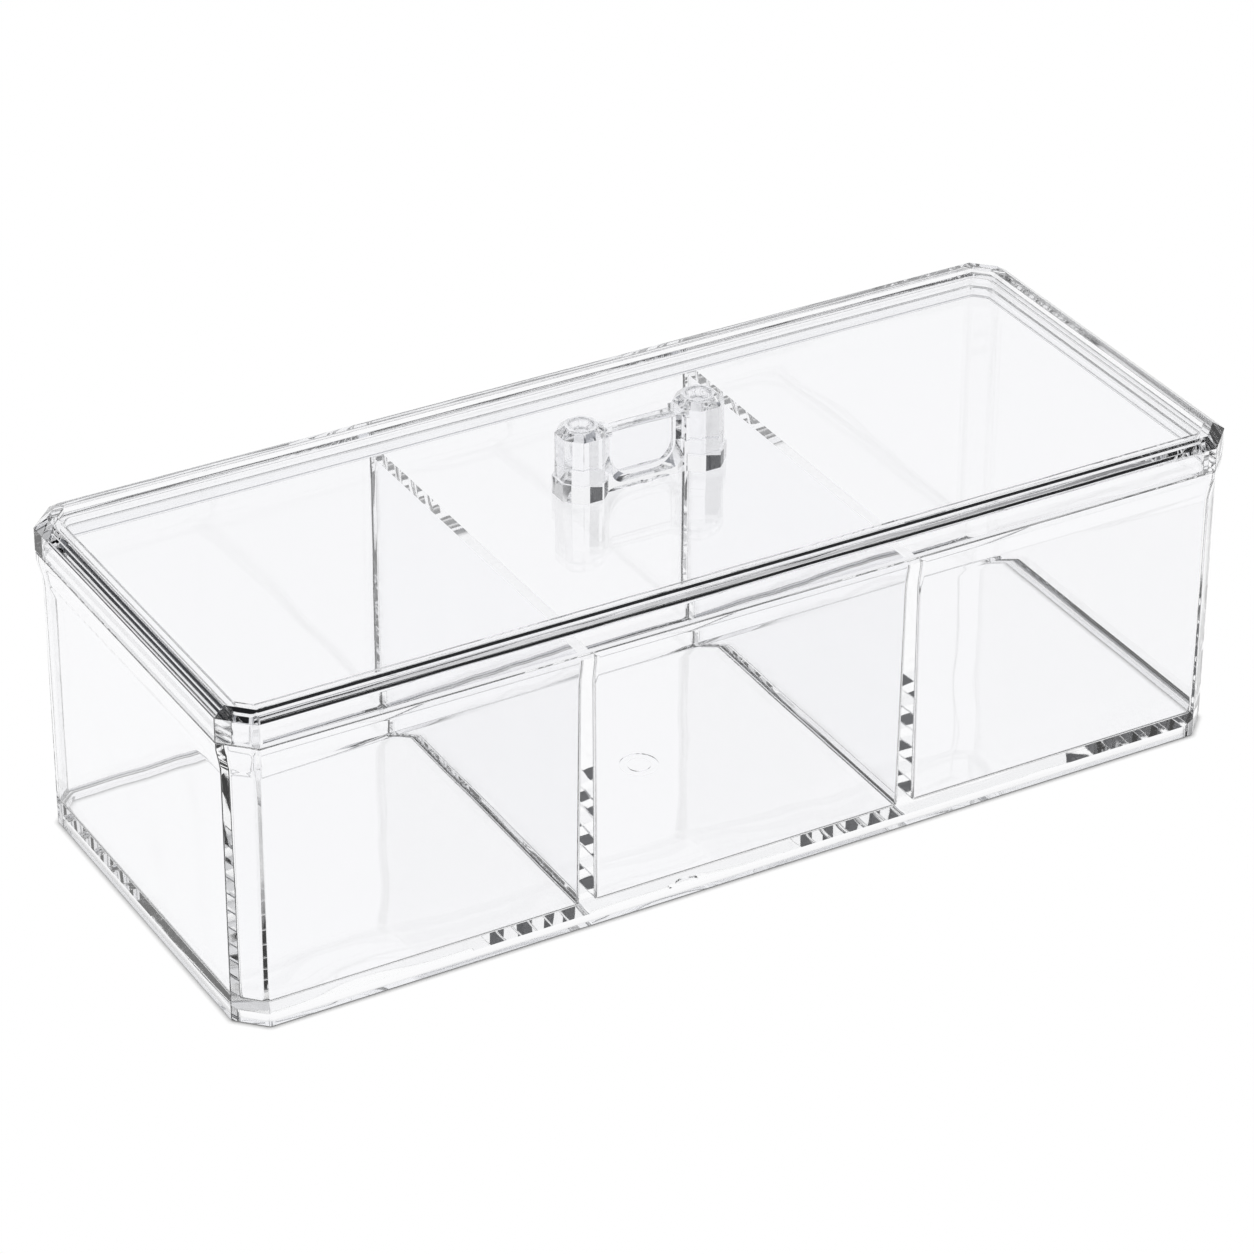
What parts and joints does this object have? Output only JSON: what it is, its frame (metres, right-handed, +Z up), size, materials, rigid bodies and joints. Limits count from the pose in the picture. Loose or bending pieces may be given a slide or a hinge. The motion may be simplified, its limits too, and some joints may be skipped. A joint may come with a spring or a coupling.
{
  "type": "storage box with lid",
  "caption": "Clear rectangular storage box with cut corners, moulded-in dividers and a bevelled lift-off lid that carries a pinch grip, for small toiletries.",
  "frame": {"origin": "middle of the underside, on the surface that the box stands on", "axes": "+X along the length, +Y to the back, +Z up, the way the lid lifts"},
  "size_m": [0.24, 0.0988, 0.0888],
  "materials": {
    "clear_box": "polished",
    "clear_lid": "polished",
    "clear_grip": "polished"
  },
  "bodies": {
    "box": {"box": "clear_box"},
    "lid": {"lid": "clear_lid", "handle": "clear_grip"}
  },
  "joints": [
    {"name": "lid_lift", "type": "slide", "parent": "box", "child": "lid", "axis": [0, 0, 1], "range_m": [0, 0.08]}
  ]
}
